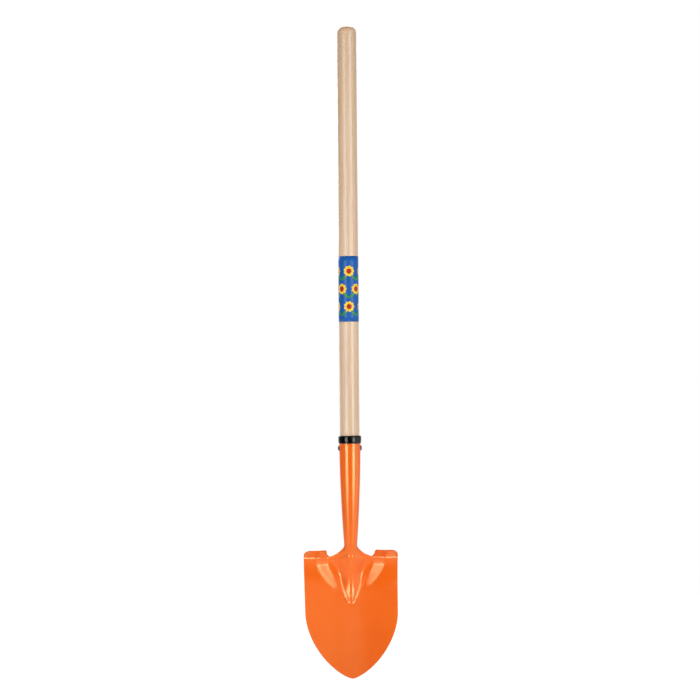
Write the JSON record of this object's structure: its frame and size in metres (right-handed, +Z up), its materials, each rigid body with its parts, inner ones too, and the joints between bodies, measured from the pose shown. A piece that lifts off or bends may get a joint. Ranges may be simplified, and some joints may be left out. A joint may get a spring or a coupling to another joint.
{
  "type": "childrens spade",
  "caption": "Child-size long-handled round-point spade: painted steel blade with rolled socket and turned foot steps, riveted to a straight wooden handle.",
  "frame": {"origin": "on the handle's axis, at the middle of the bare grip between the label and the domed end", "axes": "+Z up along the handle away from the blade, -Y the way the digging face looks, X across the blade"},
  "size_m": [0.1062, 0.0393, 0.7308],
  "materials": {
    "orange_paint": "glossy orange powder coat on pressed sheet steel",
    "wood": "pale straight-grained hardwood, clear satin",
    "black_plastic": "glossy black moulded plastic",
    "rivet_steel": "dull zinc-plated steel",
    "printed_film": "blue printed plastic film"
  },
  "bodies": {
    "root": {"blade_and_socket": "orange_paint", "handle": "wood", "collar": "black_plastic", "rivet": "rivet_steel", "label": "printed_film"}
  },
  "joints": []
}
